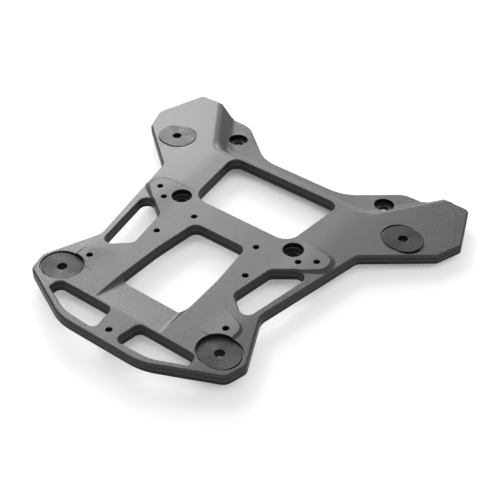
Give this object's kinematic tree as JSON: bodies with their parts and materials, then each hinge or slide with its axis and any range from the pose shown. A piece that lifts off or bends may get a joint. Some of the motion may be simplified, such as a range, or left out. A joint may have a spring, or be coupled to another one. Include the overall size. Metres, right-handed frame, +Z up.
{
  "type": "motorcycle luggage rack",
  "caption": "Cast carrier plate with sloping front wings, strap openings, sunk mounting bores and turned load pads, which carries a top case or bags behind the seat.",
  "frame": {"origin": "on the flat deck's upper face, midway between the two middle mounting bores", "axes": "+X towards the motorcycle's right side, +Y towards its front, +Z up out of the deck"},
  "size_m": [0.3324, 0.3151, 0.0219],
  "materials": {
    "plate_casting": "fine blasted, grey anodised, satin",
    "pad_metal": "turned and anodised, satin gloss"
  },
  "bodies": {
    "root": {"plate": "plate_casting", "front_left_pad": "pad_metal", "front_right_pad": "pad_metal", "rear_left_pad": "pad_metal", "rear_right_pad": "pad_metal"}
  },
  "joints": []
}
